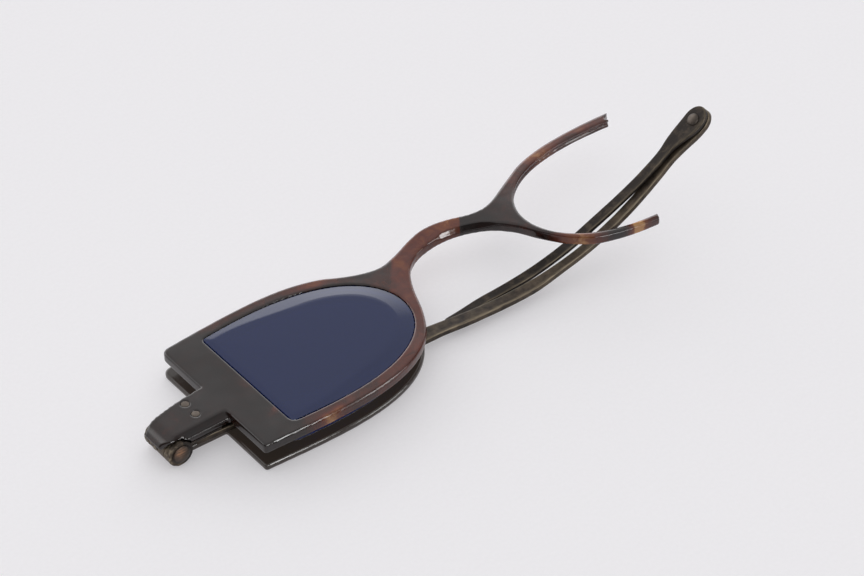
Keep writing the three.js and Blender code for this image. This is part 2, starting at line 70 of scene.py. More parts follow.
# %% Places that the pieces share
pin_low, pin_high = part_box("hinge_pin")
HINGE_X = (pin_low.x + pin_high.x) / 2 / MM
HINGE_Z = (pin_low.z + pin_high.z) / 2 / MM
HINGE_OUT = 9.2
FLAT_EDGE = HINGE_X + HINGE_OUT
SIDE_THICK = 1.1
FRONT_TOP = 5.35
EYE_START = 6.66
EYE_REACH = 30.68
EYE_HALF = 11.98
EYE_SWELL = 0.2
EYE_POWER = 2.58
print("hinge at", round(HINGE_X, 2), round(HINGE_Z, 2), "flat edge at", round(FLAT_EDGE, 2))

# %% [markdown]
# The photograph was taken with a long lens from the hinge end, about forty degrees above the
# table. A long lens keeps the far arm nearly as large as the near tab.

# %% Camera
AIM = Vector((FLAT_EDGE + 42.8, -1.0, FRONT_TOP)) * MM
TOWARDS_CAMERA = Vector((-0.4763, -0.5948, 0.6476))
CAMERA_AWAY = 0.45
camera = bpy.data.objects.new("camera", bpy.data.cameras.new("camera"))
camera.data.lens = 116.2
camera.data.sensor_width = 36
camera.data.clip_start = 0.01
PHOTO_WIDTH = 864
HALF_PIXEL = 0.5 / PHOTO_WIDTH
camera.data.shift_x = -HALF_PIXEL
camera.data.shift_y = HALF_PIXEL
camera.location = AIM + TOWARDS_CAMERA * CAMERA_AWAY
camera.rotation_mode = "QUATERNION"
camera.rotation_quaternion = (-TOWARDS_CAMERA).to_track_quat("-Z", "Y")
bpy.context.scene.collection.objects.link(camera)
bpy.context.scene.camera = camera
bpy.context.scene.view_settings.view_transform = "Standard"
print("camera at", [round(v, 3) for v in camera.location])

# %% [markdown]
# A material is a small graph of nodes. Writing each node as one call, with its inputs as a
# dictionary, keeps a graph readable: an input that is another node's socket becomes a link.

# %% Node helpers
def node(tree, kind, inputs, **settings):
    """One shader node. Sockets among the inputs are linked and other values are set."""
    made = tree.nodes.new("ShaderNode" + kind)
    for key, value in settings.items():
        setattr(made, key, value)
    for key, value in inputs.items():
        if isinstance(value, bpy.types.NodeSocket):
            tree.links.new(value, made.inputs[key])
        else:
            made.inputs[key].default_value = value
    return made


def new_finish(name):
    """An empty material with its Principled shader, and the tree to add nodes to."""
    material = bpy.data.materials.new(name)
    material.use_nodes = True
    tree = material.node_tree
    shader = tree.nodes["Principled BSDF"]
    print("finish", name)
    return material, tree, shader


def ramp(tree, factor, stops):
    """Colour ramp: stops are pairs of place and colour, blended straight between them."""
    made = node(tree, "ValToRGB", {"Fac": factor})
    band = made.color_ramp
    while len(band.elements) < len(stops):
        band.elements.new(0.5)
    for element, (place, colour) in zip(band.elements, stops):
        element.position = place
        element.color = (*colour, 1)
    return made.outputs["Color"]


def noise(tree, place, scale, detail, **more):
    """Blender's own noise, from 0 to 1, at a scale and with so many finer layers."""
    inputs = {"Vector": place, "Scale": scale, "Detail": detail, **more}
    return node(tree, "TexNoise", inputs).outputs["Fac"]


def carried(tree, name, output="Fac"):
    """A value that the mesh carries at its points, by the name of its attribute."""
    return node(tree, "Attribute", {}, attribute_name=name).outputs[output]


def bumped(tree, height, strength, distance):
    """A normal tilted by the slope of a height, which counts for so many metres."""
    inputs = {"Height": height, "Strength": strength, "Distance": distance}
    return node(tree, "Bump", inputs).outputs["Normal"]


def between(tree, value, low, high, out_low, out_high):
    """Carries a value from one range to another, and holds it at the ends."""
    limits = {"Value": value, "From Min": low, "From Max": high, "To Min": out_low, "To Max": out_high}
    return node(tree, "MapRange", limits).outputs["Result"]


def maths(tree, operation, a, b):
    """One operation on two values, such as a sum or a product."""
    return node(tree, "Math", {0: a, 1: b}, operation=operation).outputs["Value"]


def link(tree, shader, **inputs):
    """Links sockets to the shader's inputs, with underscores for the spaces in their names."""
    for key, socket in inputs.items():
        tree.links.new(socket, shader.inputs[key.replace("_", " ")])


# %% [markdown]
# The table is a matt, faintly lit sheet, which keeps the shadows pale. A pale ceiling lights it
# from above, and a broad low window behind the object draws the soft shadow towards the camera.
# Polished shell shows what it mirrors: the flat tops mirror the ceiling, the lens facet the window,
# and the near edges a bright panel in front and a dimmer one to its right. The panels are only
# seen in the gloss. The table lies a hair below the object, so that no two faces share a plane.

# %% Table
TABLE_HALF = 1.6
TABLE_DROP = 0.03 * MM
table_finish, tree, shader = new_finish("pale_table")
coords = node(tree, "TexCoord", {}).outputs["Object"]
grain = noise(tree, coords, 1500.0, 3.0)
tint = ramp(tree, grain, [(0.3, (0.61, 0.60, 0.61)), (0.7, (0.63, 0.62, 0.63))])
link(tree, shader, Base_Color=tint)
shader.inputs["Roughness"].default_value = 0.85
shader.inputs["Specular IOR Level"].default_value = 0.1
shader.inputs["Emission Color"].default_value = (0.335, 0.33, 0.34, 1)
shader.inputs["Emission Strength"].default_value = 1.0
table_mesh = bpy.data.meshes.new("table")
corners = [(x * TABLE_HALF, y * TABLE_HALF, -TABLE_DROP) for x, y in ((-1, -1), (1, -1), (1, 1), (-1, 1))]
table_mesh.from_pydata(corners, [], [(0, 1, 2, 3)])
table_mesh.materials.append(table_finish)
table = bpy.data.objects.new("table", table_mesh)
bpy.context.scene.collection.objects.link(table)
print("table", 2 * TABLE_HALF, "m across")

# %% Ceiling, window and panels
CEILING = Vector((0.1, 0.35, 0.93)).normalized()
WINDOW = Vector((0.3, 0.95, 0.0)).normalized()
sky = bpy.data.worlds.new("sky")
sky.use_nodes = True
tree = sky.node_tree
direction = node(tree, "TexCoord", {}).outputs["Generated"]
height = node(tree, "SeparateXYZ", {"Vector": direction}).outputs["Z"]
above = node(tree, "VectorMath", {0: direction, 1: CEILING}, operation="DOT_PRODUCT").outputs["Value"]
behind = node(tree, "VectorMath", {0: direction, 1: WINDOW}, operation="DOT_PRODUCT").outputs["Value"]
CEILING_DIM = 0.12
CEILING_BRIGHT = 0.85
WINDOW_BRIGHT = 1.9
ceiling = between(tree, above, 0.3, 0.75, CEILING_DIM, CEILING_BRIGHT)
low = between(tree, height, 0.42, 0.6, WINDOW_BRIGHT, 0.0)
window = maths(tree, "MULTIPLY", low, between(tree, behind, 0.2, 0.6, 0.0, 1.0))
backdrop = tree.nodes["Background"]
backdrop.inputs["Color"].default_value = (1.0, 1.0, 1.01, 1)
link(tree, backdrop, Strength=maths(tree, "ADD", ceiling, window))
bpy.context.scene.world = sky


def panel(name, direction, away, width, height, watts):
    """A rectangular area light that looks at the object from a direction, seen only in the gloss."""
    light = bpy.data.lights.new(name, "AREA")
    light.shape = "RECTANGLE"
    light.size = width
    light.size_y = height
    light.energy = watts
    holder = bpy.data.objects.new(name, light)
    towards = Vector(direction).normalized()
    holder.location = AIM + towards * away
    holder.rotation_mode = "QUATERNION"
    holder.rotation_quaternion = (-towards).to_track_quat("-Z", "Y")
    holder.visible_diffuse = False
    bpy.context.scene.collection.objects.link(holder)
    print(name, "at", [round(v, 2) for v in holder.location])


panel("panel_left", (-0.63, 0.595, 0.46), away=1.2, width=0.5, height=0.4, watts=0.5)
panel("panel_front", (0.03, -0.88, 0.39), away=1.2, width=0.76, height=0.26, watts=8.4)
panel("panel_right", (0.84, -0.93, 0.31), away=1.29, width=0.6, height=0.3, watts=3.4)

# %% [markdown]
# Old surfaces are never quite flat. A lattice of random numbers, blended smoothly between its
# points, gives a field that can push a surface in and out or drive a colour. The same seed
# gives the same object each time.

# %% Smooth noise and mesh helpers
CELLS = 24
SEED = 11
SAME_POINT = 2e-6
NO_LENGTH = 1e-7
LATTICE = np.random.default_rng(SEED).random((CELLS, CELLS, CELLS))


def smooth(t):
    """Ease from 0 to 1: three t squared minus two t cubed, held outside that span."""
    t = np.clip(t, 0, 1)
    return t * t * (3 - 2 * t)


def cloud(points, size, shift=0.0):
    """Noise from -1 to 1: lattice values one size apart, blended by eased weights of the eight corners."""
    place = points / size + shift
    cell = np.floor(place).astype(int)
    share = smooth(place - cell)
    total = np.zeros(len(points))
    for corner in np.ndindex(2, 2, 2):
        weight = np.prod(np.where(np.array(corner) == 1, share, 1 - share), axis=1)
        a, b, c = ((cell + np.array(corner)) % CELLS).T
        total += weight * LATTICE[a, b, c]
    return 2 * total - 1


def grid_quads(rows, columns, wrap_rows=False):
    """Quads of a grid whose columns close on themselves, and whose rows may."""
    r = np.arange(rows if wrap_rows else rows - 1)[:, None]
    c = np.arange(columns)[None, :]
    below = (r + 1) % rows
    right = (c + 1) % columns
    corners = (r * columns + c, r * columns + right, below * columns + right, below * columns + c)
    return np.stack(corners, -1).reshape(-1, 4)


def outward(points, quads):
    """Vertex normals: the sum of the neighbouring faces' area vectors, made one long."""
    corner = points[quads]
    area = np.cross(corner[:, 2] - corner[:, 0], corner[:, 3] - corner[:, 1])
    total = np.zeros_like(points)
    for k in range(4):
        np.add.at(total, quads[:, k], area)
    return total / np.maximum(np.linalg.norm(total, axis=1, keepdims=True), 1e-12)


def make_piece(name, parts, body, nodes, finish, sharp=40):
    """One object from shells of (points in mm, quads, attributes), at the origin, on a body."""
    points = np.clip(np.concatenate([p for p, _, _ in parts]), *(np.array(cad_box) / MM))
    starts = np.cumsum([0] + [len(p) for p, _, _ in parts])
    quads = np.concatenate([q + s for (_, q, _), s in zip(parts, starts)])
    mesh = bpy.data.meshes.new(name)
    mesh.from_pydata((points * MM).tolist(), [], quads.tolist())
    for key in parts[0][2]:
        values = np.concatenate([extra[key] for _, _, extra in parts]).astype(np.float32)
        kind = "FLOAT" if values.ndim == 1 else "FLOAT_VECTOR"
        attribute = mesh.attributes.new(key, kind, "POINT")
        attribute.data.foreach_set("value" if values.ndim == 1 else "vector", values.ravel())
    work = bmesh.new()
    work.from_mesh(mesh)
    bmesh.ops.remove_doubles(work, verts=work.verts, dist=SAME_POINT)
    bmesh.ops.dissolve_degenerate(work, edges=work.edges, dist=NO_LENGTH)
    bmesh.ops.recalc_face_normals(work, faces=work.faces)
    work.to_mesh(mesh)
    work.free()
    mesh.shade_smooth()
    mesh.set_sharp_from_angle(angle=np.radians(sharp))
    mesh.materials.append(finish)
    piece = bpy.data.objects.new(name, mesh)
    bpy.context.scene.collection.objects.link(piece)
    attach(piece, body)
    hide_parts(*nodes)
    print(name, len(mesh.polygons), "faces")


# %% [markdown]
# The front and the side eye are sawn from plates of shell and polished, and a century of
# handling has rounded every edge a little. Bevelling each edge by itself would leave them all
# alike. Instead a copy of the CAD solid is skinned again with small even squares and relaxed,
# which softens the edges as rubbing does, and leaves enough points to be pushed by the noise.

# %% Even skin over a CAD solid
PULL = 0.5
PUSH_BACK = -0.52


def relax(points, quads, passes):
    """Each pass pulls every point half way to its neighbours' mean, then pushes it back a little more."""
    edges = np.concatenate([quads[:, [k, (k + 1) % 4]] for k in range(4)])
    count = np.bincount(edges.ravel(), minlength=len(points))[:, None]
    for step in range(2 * passes):
        pull = np.zeros_like(points)
        np.add.at(pull, edges[:, 0], points[edges[:, 1]])
        np.add.at(pull, edges[:, 1], points[edges[:, 0]])
        points = points + (PULL if step % 2 == 0 else PUSH_BACK) * (pull / count - points)
    return points


def even_skin(node_name, square, passes):
    """Points and quads of a merged copy of the solid, skinned with even squares, then relaxed."""
    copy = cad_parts[node_name].data.copy()
    copy.transform(Matrix.Scale(1 / MM, 4))
    work = bmesh.new()
    work.from_mesh(copy)
    bmesh.ops.remove_doubles(work, verts=work.verts, dist=1e-3)
    work.to_mesh(copy)
    work.free()
    holder = bpy.data.objects.new("skin", copy)
    bpy.context.scene.collection.objects.link(holder)
    skin = holder.modifiers.new("skin", "REMESH")
    skin.mode = "VOXEL"
    skin.voxel_size = square
    graph = bpy.context.evaluated_depsgraph_get()
    even = bpy.data.meshes.new_from_object(holder.evaluated_get(graph))
    points = np.zeros(3 * len(even.vertices))
    even.vertices.foreach_get("co", points)
    points = points.reshape(-1, 3)
    quads = np.zeros(len(even.loops), int)
    even.loops.foreach_get("vertex_index", quads)
    quads = quads.reshape(-1, 4)
    bpy.data.objects.remove(holder)
    return relax(points, quads, passes), quads


# %% [markdown]
# Shell is dark where it is thick and glows brown and amber where it is thin or clear. Where the
# patches lie is part of this object's look, so they are set one by one: a broad warm tone for
# each stretch of the frame, then the clear patches. The noise frays their borders.

# %% Colour of the front
def patch(x, y, centre, reach):
    """A soft spot: 1 in the middle, falling as a bell with its own reach along and across."""
    return np.exp(-((x - centre[0]) / reach[0]) ** 2 - ((y - centre[1]) / reach[1]) ** 2)


CLEAR_PATCHES = {
    "far rim": ((28.8, 12.0), (3.4, 1.3), 0.3),
    "near rim": ((12.4, -14.4), (2.4, 0.8), 0.5),
    "land by the lens": ((5.9, -8.2), (1.2, 0.8), 0.4),
    "land middle": ((6.0, -0.5), (1.6, 3.4), 0.2),
    "tab": ((-8.5, -1.0), (3.0, 3.0), 0.14),
    "bridge start": ((42.4, 7.4), (0.9, 2.4), 0.14),
    "bridge end": ((53.4, 8.8), (3.4, 0.9), 0.2),
    "upper arm": ((76.2, 12.0), (3.4, 1.5), 0.46),
    "upper arm streak": ((85.4, 12.9), (4.2, 0.5), 0.3),
    "lower arm": ((66.4, -9.8), (3.4, 2.8), 0.56),
    # The lower arm end is clear amber shell, and part of its brightness is a painted highlight.
    "lower arm end": ((76.6, -12.8), (1.5, 2.0), 0.85),
}
DARK_PATCHES = {
    "lower arm": ((73.0, -11.8), (1.8, 1.5), 0.42),
    "web": ((37.2, 10.0), (3.2, 2.2), 0.4),
}
GROUND_TONE = 0.05
TONES = {"rim": 0.33, "nose": 0.14, "bridge": 0.42, "fork": 0.16, "upper arm": 0.36, "lower arm": 0.34}
RIM_FROM = 6.4
RIM_TO = 44.0
RED_FROM = 42.0
RED_FROM_SLANT = 0.9
RED_FROM_LEVEL = 9.3
RED_TO = 55.9
RED_TO_SLANT = 0.7
RED_TO_LEVEL = 8.0
FORK_FROM = 58.0
FORK_TO = 67.0
UPPER_ARM_FROM = 63.0
LOWER_ARM_UNDER = -4.6


def front_warmth(points):
    """Warm tone by stretch of the frame, plus clear patches, minus dark ones, frayed by noise. The red
    of the nose starts and ends on slanted lines, and the shell is darker along the glass."""
    x = points[:, 0] - FLAT_EDGE
    y = points[:, 1]
    fray = cloud(points, 2.4)
    past_start = x - RED_FROM_SLANT * (y - RED_FROM_LEVEL) + 0.5 * fray - RED_FROM
    before_end = RED_TO - x + RED_TO_SLANT * (y - RED_TO_LEVEL) - 0.15 * fray
    nose = smooth(past_start / 1.2) * smooth(before_end / 0.5) * (x < 60)
    bridge = nose * smooth((x - 36) / 6)
    stretches = {
        "rim": smooth((x + 0.5 * fray - RIM_FROM) / 2.5) * (x < RIM_TO) * (1 - bridge),
        "nose": nose,
        "bridge": bridge,
        "fork": smooth((x - FORK_FROM) / 3) * smooth((FORK_TO - x) / 4),
        "upper arm": smooth((x + 0.5 * fray - UPPER_ARM_FROM) / 5) * (y > 0),
        "lower arm": smooth((LOWER_ARM_UNDER - y - 0.3 * fray) / 2) * (x > FORK_FROM),
    }
    warmth = GROUND_TONE + sum(TONES[name] * stretch for name, stretch in stretches.items())
    for centre, reach, gain in CLEAR_PATCHES.values():
        warmth = warmth + gain * patch(x + 0.6 * fray, y + 0.4 * fray, centre, reach)
    for centre, reach, loss in DARK_PATCHES.values():
        warmth = warmth - loss * patch(x + 0.4 * fray, y + 0.4 * fray, centre, reach)
    share = np.clip((x - EYE_START) / EYE_REACH, 0, 1)
    from_glass = y - EYE_HALF * (1 + EYE_SWELL * share) * np.sqrt(1 - share ** EYE_POWER)
    inner_edge = np.exp(-((from_glass - 0.2) / 0.55) ** 2) * smooth((x - 6) / 2) * smooth((38 - x) / 4)
    warmth = warmth - 0.26 * inner_edge
    tortoise = 0.1 * np.clip(cloud(points, 4.0, 0.3), 0, 1) * (x < 8)
    return warmth + tortoise + 0.05 * fray + 0.04 * cloud(points, 0.9)


# %% [markdown]
# Polished shell has a deep gloss over its colour, dulled by handling. The ramp runs from almost
# black through red brown to amber. Fine hair scratches and a film of dust break up the gloss.

# %% Shell finish
SHELL_TONES = [
    (0.0, (0.0105, 0.006, 0.005)),
    (0.2, (0.018, 0.006, 0.004)),
    (0.4, (0.055, 0.012, 0.006)),
    (0.6, (0.11, 0.018, 0.007)),
    (0.8, (0.19, 0.05, 0.012)),
    (1.0, (0.5, 0.25, 0.09)),
]
HAIR_STRETCH = (300, 9000, 300)


def shell_finish(name, gloss, painted_glow):
    """Colour from the warmth attribute and fine noise, gloss from noise, hair scratches as bump. Its emission
    is painted light: the shell shines evenly by itself, standing in for the little light that seeps through a
    thin plate."""
    material, tree, shader = new_finish(name)
    coords = node(tree, "TexCoord", {}).outputs["Object"]
    mottle = noise(tree, coords, 650.0, 5.0, Roughness=0.6, Distortion=0.8)
    tone = maths(tree, "ADD", carried(tree, "warmth"), between(tree, mottle, 0.3, 0.7, -0.1, 0.1))
    link(tree, shader, Base_Color=ramp(tree, tone, SHELL_TONES))
    film = noise(tree, coords, 180.0, 6.0)
    link(tree, shader, Roughness=between(tree, film, 0.3, 0.7, gloss, gloss + 0.16))
    turn = node(tree, "Mapping", {"Vector": coords, "Rotation": (0, 0, 0.5), "Scale": HAIR_STRETCH})
    hairs = noise(tree, turn.outputs["Vector"], 1.0, 2.0)
    link(tree, shader, Normal=bumped(tree, hairs, 0.12, 0.02 * MM))
    shader.inputs["IOR"].default_value = 1.55
    # Painted light: an even emission from the shell itself, not from any lamp.
    shader.inputs["Emission Color"].default_value = (*painted_glow, 1)
    shader.inputs["Emission Strength"].default_value = 1.0
    return material


# %% [markdown]
# Relaxing rounds an edge evenly, but some edges of the real frame were filed flat, and a flat slope
# catches the light as one long line. A Bevel modifier needs clean edges to work on, which an even
# skin no longer has. So the slope is cut in the points themselves, by their way from the wall.

# %% Bevels on the near edges
STEEP = 0.82
LEVEL = 0.57
COLUMN = 0.5
WALL_BAND = 0.16
WALL_REACH = 2.0


def bevel_near_edges(points, quads, size, wall_depth):
    """Cuts a flat slope: where steep times the way in from the nearest near wall, plus level times the
    depth, is under the size, a point moves by what is missing, steep parts inwards and level parts down.
    The depth counts from the highest point of each narrow column along the frame."""
    normals = outward(points, quads)
    left = points[:, 0].min()
    columns = np.round((points[:, 0] - left) / COLUMN).astype(int)
    tops = np.full(columns.max() + 1, -np.inf)
    np.maximum.at(tops, columns, points[:, 2])
    depth = np.interp(points[:, 0], left + COLUMN * np.arange(len(tops)), tops) - points[:, 2]
    upright = np.abs(normals[:, 2]) < 0.3
    wall = upright & (normals[:, 1] < -0.3) & (np.abs(depth - wall_depth) < WALL_BAND) & (size > 0)
    edge = points[wall, :2]
    inwards = -normals[wall, :2]
    inwards = inwards / np.linalg.norm(inwards, axis=1, keepdims=True)
    high = np.flatnonzero((LEVEL * depth < size) & (size > 0))
    for some in np.array_split(high, 40):
        gap = np.sum((points[some, None, :2] - edge[None, :, :]) ** 2, axis=2)
        nearest = np.argmin(gap, axis=1)
        way_in = np.sum((points[some, :2] - edge[nearest]) * inwards[nearest], axis=1)
        missing = np.clip(size[some] - STEEP * np.maximum(way_in, 0) - LEVEL * depth[some], 0, None)
        missing = missing * (np.min(gap, axis=1) < WALL_REACH)
        points[some, :2] += STEEP * missing[:, None] * inwards[nearest]
        points[some, 2] -= LEVEL * missing
    print("bevelled along", len(edge), "wall points")
    return relax(points, quads, 4)


# %% [markdown]
# The front carries the bridge and the two arms that are left of the broken eye. Where they broke
# the shell shows a rough, splintered face, so the noise is stronger there. The tab over the hinge
# is worn rounder than the rest.

# %% Shell of the front
RIM_BEVEL = 0.25
ARCH_BEVEL = 0.5
UPPER_BREAK = 91.0
LOWER_BREAK = 79.0
TAB_PASSES = 14
points, quads = even_skin("front_frame", square=0.19, passes=6)
x = points[:, 0] - FLAT_EDGE
near_rim = RIM_BEVEL * smooth((x - 0.4) / 1.2) * smooth((32 - x) / 8) * (points[:, 1] < -1.5)
arch = ARCH_BEVEL * smooth((x - 49) / 2.5) * smooth((61 - x) / 4)
points = bevel_near_edges(points, quads, near_rim + arch, wall_depth=0.95)
x = points[:, 0] - FLAT_EDGE
tab = smooth((1.5 - x) / 2)[:, None]
points = points + tab * (relax(points, quads, TAB_PASSES) - points)
normals = outward(points, quads)
ends = np.where(points[:, 1] > 0, UPPER_BREAK, LOWER_BREAK)
broken = smooth((x - ends) / 1.2) * smooth((normals[:, 0] - 0.3) / 0.4)
push = 0.014 * cloud(points, 6.0) + 0.006 * cloud(points, 1.5) + 0.12 * broken * cloud(points, 0.55)
points = points + normals * push[:, None]
front_shell = shell_finish("polished_shell", gloss=0.1, painted_glow=(0.0, 0.0, 0.0))
make_piece("shell_front", [(points, quads, {"warmth": front_warmth(points)})], "front",
           ["front_frame"], front_shell)

# %% [markdown]
# The side eye is thinner and darker, and hidden from most of the wear. It shines faintly by itself, as
# painted light that stands in for the little light that seeps through its thin plate and keeps the gap under
# the front from going black.

# %% Shell of the side eye
SIDE_BEVEL = 0.22
points, quads = even_skin("side_frame", square=0.16, passes=5)
near_side = (points[:, 1] < -1.5) & (points[:, 0] > FLAT_EDGE + 0.6)
points = bevel_near_edges(points, quads, np.where(near_side, SIDE_BEVEL, 0.0), wall_depth=0.55)
normals = outward(points, quads)
push = 0.01 * cloud(points, 6.0, 0.4) + 0.005 * cloud(points, 1.5)
points = points + normals * push[:, None]
warmth = 0.08 + 0.1 * cloud(points, 5.0, 0.3) + 0.05 * cloud(points, 1.2)
# Painted light: the side eye shines faintly by itself.
side_shell = shell_finish("dark_shell", gloss=0.12, painted_glow=(0.018, 0.0145, 0.012))
make_piece("shell_side", [(points, quads, {"warmth": warmth})], "side",
           ["side_frame"], side_shell)

# %% [markdown]
# A lens is a flat pane cut to the D of the opening, ground to a ridge round its edge that sits
# in a groove. As a surface it is one grid: one parameter runs round the outline, and the other
# runs from the middle of the upper face over the ridge to the middle of the lower face.

# %% A flat body from its outline
def loop_normals(loop):
    """Outward direction of a counterclockwise loop: its tangent turned a quarter to the right."""
    tangent = np.roll(loop, -1, axis=0) - np.roll(loop, 1, axis=0)
    tangent = tangent / np.linalg.norm(tangent, axis=1, keepdims=True)
    return np.stack([tangent[:, 1], -tangent[:, 0]], 1)


def even_loop(corners, count, soften):
    """The closed line through the corners at even steps, rounded by a running mean of that length."""
    closed = np.concatenate([corners, corners[:1]])
    length = np.concatenate([[0], np.cumsum(np.linalg.norm(np.diff(closed, axis=0), axis=1))])
    fine = 8 * count
    at = np.arange(fine) * length[-1] / fine
    loop = np.stack([np.interp(at, length, closed[:, k]) for k in range(2)], 1)
    window = max(1, round(soften / length[-1] * fine))
    kernel = np.ones(window) / window
    padded = np.concatenate([loop[-window:], loop, loop[:window]])
    eased = np.stack([np.convolve(padded[:, k], kernel, "same") for k in range(2)], 1)
    return eased[window:-window][::8]


def flat_body(loop, spine, rows):
    """Grid of (inset, share, height) rows: the loop drawn in by inset, then by share towards the spine."""
    inset, share, height = np.array(rows).T[:, :, None]
    rim = loop[None, :, :] - inset[..., None] * loop_normals(loop)[None, :, :]
    plan = rim + share[..., None] * (spine[None, :, :] - rim)
    tall = np.broadcast_to(height, plan.shape[:2])[..., None]
    points = np.concatenate([plan, tall], 2).reshape(-1, 3)
    return points, grid_quads(len(rows), len(loop))


# %% Outline of the eye opening
def eye_loop(grow, count=288, soften=1.0):
    """The D: along, the reach times a power of the sine of an angle; across, the half height, swelling
    along the D, times the angle's cosine. The loop is then grown outwards."""
    angle = np.linspace(0, np.pi, 400)
    along = np.sin(angle) ** (2 / EYE_POWER)
    across = -EYE_HALF * (1 + EYE_SWELL * along) * np.cos(angle)
    line = np.stack([FLAT_EDGE + EYE_START + EYE_REACH * along, across], 1)
    loop = even_loop(line, count, soften)
    return loop + grow * loop_normals(loop)


# %% [markdown]
# The old glass is tinted through, so two panes on top of each other look deep blue. Its colour also carries
# painted light: the lower pane is painted paler, as if lighted by the table behind it, and the upper pane is
# painted deep blue, as painted shade. One finish serves both: each pane carries a value that says how much
# painted light it has.

# %% Blue glass
# Painted shade and painted light: the glass's colour in shade, and where it is lighted from below.
SHADED_BLUE = (0.008, 0.025, 0.13)
LIT_BLUE = (0.14, 0.19, 0.5)


def glass_finish(name, roughness):
    """Tinted glass with painted light in its colour: deep blue as painted shade, pale blue as painted light
    from below, with a faint smear in the gloss.
    """
    material, tree, shader = new_finish(name)
    coords = node(tree, "TexCoord", {}).outputs["Object"]
    smear = noise(tree, coords, 140.0, 3.0)
    link(tree, shader, Roughness=between(tree, smear, 0.35, 0.75, roughness, roughness + 0.05))
    link(tree, shader, Base_Color=ramp(tree, carried(tree, "painted_light"), [(0.0, SHADED_BLUE), (1.0, LIT_BLUE)]))
    shader.inputs["Transmission Weight"].default_value = 0.45
    shader.inputs["IOR"].default_value = 1.5
    return material


# %% Lenses
blue_glass = glass_finish("blue_glass", roughness=0.01)
GROOVE = 0.4
GROOVE_SLACK = 0.02
CROWN = 0.1
GROUND = 0.22
SPINE_FROM = FLAT_EDGE + 17
SPINE_TO = FLAT_EDGE + 25


def lens(name, node_name, body, z, core, facet, drop, painted_light):
    """Pane with a slight crown, its upper face ground down by the drop over a share of the way in."""
    loop = eye_loop(GROOVE - GROOVE_SLACK)
    spine = np.stack([np.clip(loop[:, 0], SPINE_FROM, SPINE_TO), 0 * loop[:, 1]], 1)
    share = np.concatenate([np.linspace(1, GROUND, 12), np.linspace(GROUND, 0, 12)[1:]])
    bulge = core / 2 + facet + CROWN * (1 - (1 - share) ** 2)
    face = [(GROOVE, s, h) for s, h in zip(share, bulge)]
    ridge = [(0.0, 0.0, core / 2), (0.0, 0.0, -core / 2)]
    under = [(GROOVE, s, -h) for _, s, h in face[::-1]]
    points, quads = flat_body(loop, spine, face + ridge + under)
    ground = GROUND * (0.4 + 0.6 * smooth((loop[:, 0] - FLAT_EDGE - 8) / 16))
    raised = drop - drop * ground / GROUND * (1 - np.clip(share[:, None] / ground, 0, 1))
    points[:raised.size, 2] += raised.ravel()
    points[:, 2] += z
    extras = {"painted_light": np.full(len(points), painted_light)}
    make_piece(name, [(points, quads, extras)], body, [node_name], blue_glass, sharp=25)


# Painted light: the upper pane is painted as in shade, the lower pane as lighted from below.
lens("glass_front", "front_lens", "front", z=FRONT_TOP - 0.85, core=0.3, facet=0.48, drop=0.3, painted_light=0.0)
lens("glass_side", "side_lens", "side", z=SIDE_THICK / 2, core=0.14, facet=0.26, drop=0.0, painted_light=1.0)

# %% [markdown]
# Both bars of the temple are flat strips, filed to shape and bent. Each is drawn flat first, as
# an outline round a straight spine, with its edges eased by a quarter round. The flat shape is
# then carried along the bar's curve: a point at a length along the bar and a height above it
# moves to that place on the curve and on the curve's normal.

# %% The bar's curve
BAR_LENGTH = 106.45
BAR_THICK = 1.1
BAR_DIP = -0.55
BAR_RISE = 42.8
BOW = (54.0, 101.7)
YAW = np.radians(-4.55)
BAR_Y = -2.5
WALK = np.linspace(-1, 111, 4481)
slope = np.radians(BAR_DIP + (BAR_RISE - BAR_DIP) * smooth((WALK - BOW[0]) / (BOW[1] - BOW[0])))
step = WALK[1] - WALK[0]
start = np.searchsorted(WALK, 0)
walk_run = np.cumsum(np.cos(slope)) * step
walk_rise = np.cumsum(np.sin(slope)) * step
walk_run -= walk_run[start]
walk_rise -= walk_rise[start]
print("bar rises to", round(np.interp(BAR_LENGTH, WALK, walk_rise), 1), "mm above the hinge")


def on_bar(flat):
    """Carries (length, aside, over) onto the curve: place on the curve plus over times its normal."""
    length, aside, over = flat.T
    tilt = np.interp(length, WALK, slope)
    run = np.interp(length, WALK, walk_run) - np.sin(tilt) * over
    rise = np.interp(length, WALK, walk_rise) + np.cos(tilt) * over
    x = HINGE_X + run * np.cos(YAW) - aside * np.sin(YAW)
    y = BAR_Y + run * np.sin(YAW) + aside * np.cos(YAW)
    return np.stack([x, y, HINGE_Z + rise], 1)


# %% Flat strips
END_HALF = 1.98
END_TIP = 2.6
END_TAPER = 8.0
OUTLINE_POINTS = 1200
OUTLINE_SOFT = 0.25
WEAR_AND_HIGHLIGHT_ROWS = np.array([0.0, 0, 0, 0.1, 0.5, 0.9, 1, 0.8, 0.4, 0.1])


def end_half(back, slim):
    """Half width near the turn pin: an ellipse beyond it, and an eased taper before it."""
    tip = END_HALF * np.sqrt(np.clip(1 - (back / END_TIP) ** 2, 0, 1))
    return np.where(back < 0, tip, slim + (END_HALF - slim) * (1 - smooth(back / END_TAPER)))


